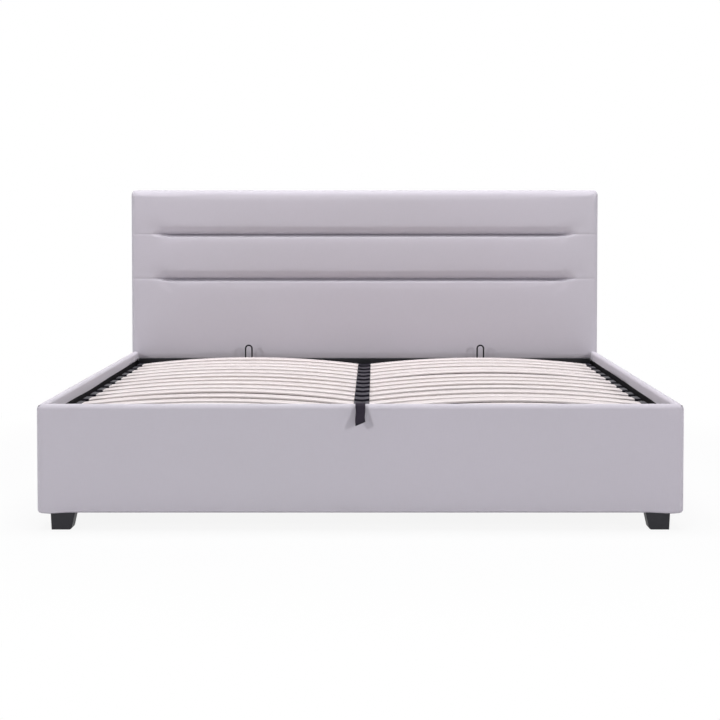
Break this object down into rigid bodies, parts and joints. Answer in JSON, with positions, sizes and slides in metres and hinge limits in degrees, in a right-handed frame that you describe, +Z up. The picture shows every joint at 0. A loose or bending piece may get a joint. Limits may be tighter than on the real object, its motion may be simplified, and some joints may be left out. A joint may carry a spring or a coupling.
{
  "type": "storage bed",
  "caption": "Upholstered storage bed with a channelled headboard and a sprung slatted base that lifts on gas struts from a head-end hinge.",
  "frame": {"origin": "on the floor under the middle of the bed's bounding box", "axes": "+Z up, -Y towards the foot end, +Y towards the headboard, +X to the right when looking from the foot end at the headboard"},
  "size_m": [1.9, 2.1889, 1.027],
  "materials": {
    "fabric": "woven upholstery fabric over thin foam, light grey",
    "lining": "black non-woven lining",
    "board": "board with a dark matt facing",
    "floor_panel": "bare hardboard",
    "timber": "planed softwood",
    "birch": "pale laminated birch, smooth",
    "black_steel": "black powder coat",
    "zinc": "bright zinc plate",
    "black_plastic": "moulded black plastic",
    "cap_plastic": "moulded black plastic with a soft gloss",
    "rubber": "matt rubber",
    "webbing": "woven black webbing",
    "strut_body": "satin black enamel",
    "strut_rod": "polished rod"
  },
  "bodies": {
    "bed_frame": {"centre_beam": "timber", "centre_legs": "black_plastic", "corner_brackets": "zinc", "floor_ledgers": "timber", "foot_front_left": "black_plastic", "foot_front_right": "black_plastic", "foot_rear_left": "black_plastic", "foot_rear_right": "black_plastic", "footboard": "board", "footboard_cover": "fabric", "frame_bolts": "zinc", "headboard_back_cover": "lining", "headboard_base": "board", "headboard_pad": "fabric", "headboard_panel": "board", "hinge_base_plate_left": "black_steel", "hinge_base_plate_right": "black_steel", "hinge_pins": "zinc", "rest_brackets": "black_steel", "rest_pads": "rubber", "side_rail_cover_left": "fabric", "side_rail_cover_right": "fabric", "side_rail_left": "board", "side_rail_right": "board", "storage_floor_1": "floor_panel", "storage_floor_2": "floor_panel", "strut_pins": "zinc"},
    "lifting_base": {"centre_caps": "cap_plastic", "lift_foot_tube": "black_steel", "lift_head_tube": "black_steel", "lift_mid_tubes": "black_steel", "lift_plate_left": "black_steel", "lift_plate_right": "black_steel", "lift_side_tube_left": "black_steel", "lift_side_tube_right": "black_steel", "lift_spine_tube": "black_steel", "mattress_stop_left": "black_steel", "mattress_stop_right": "black_steel", "side_caps_left": "cap_plastic", "side_caps_right": "cap_plastic", "slat_row_01": "birch", "slat_row_02": "birch", "slat_row_03": "birch", "slat_row_04": "birch", "slat_row_05": "birch", "slat_row_06": "birch", "slat_row_07": "birch", "slat_row_08": "birch", "slat_row_09": "birch", "slat_row_10": "birch", "slat_row_11": "birch", "slat_row_12": "birch", "slat_row_13": "birch", "tube_plugs": "black_plastic", "pull_strap": "webbing", "strut_studs": "zinc"},
    "strut_cylinder_left": {"strut_cylinder_left": "strut_body"},
    "strut_rod_left": {"strut_rod_left": "strut_rod"},
    "strut_cylinder_right": {"strut_cylinder_right": "strut_body"},
    "strut_rod_right": {"strut_rod_right": "strut_rod"}
  },
  "joints": [
    {"name": "lift", "type": "hinge", "parent": "bed_frame", "child": "lifting_base", "pos_m": [0, 0.7595, 0.265], "axis": [-1, 0, 0], "range_deg": [0, 35]},
    {"name": "strut_swing_left", "type": "hinge", "parent": "bed_frame", "child": "strut_cylinder_left", "pos_m": [-0.897, 0.7095, 0.095], "axis": [-1, 0, 0], "range_deg": [0, 28.4]},
    {"name": "strut_slide_left", "type": "slide", "parent": "strut_cylinder_left", "child": "strut_rod_left", "axis": [0, -0.87, 0.493], "range_m": [0, 0.0975]},
    {"name": "strut_swing_right", "type": "hinge", "parent": "bed_frame", "child": "strut_cylinder_right", "pos_m": [0.897, 0.7095, 0.095], "axis": [-1, 0, 0], "range_deg": [0, 28.4]},
    {"name": "strut_slide_right", "type": "slide", "parent": "strut_cylinder_right", "child": "strut_rod_right", "axis": [0, -0.87, 0.493], "range_m": [0, 0.0975]}
  ],
  "couplings": [
    {"joint": "strut_swing_left", "follows": "lift", "ratio": 0.8086},
    {"joint": "strut_slide_left", "follows": "lift", "m_per_rad": 0.1591},
    {"joint": "strut_swing_right", "follows": "lift", "ratio": 0.8086},
    {"joint": "strut_slide_right", "follows": "lift", "m_per_rad": 0.1591}
  ]
}
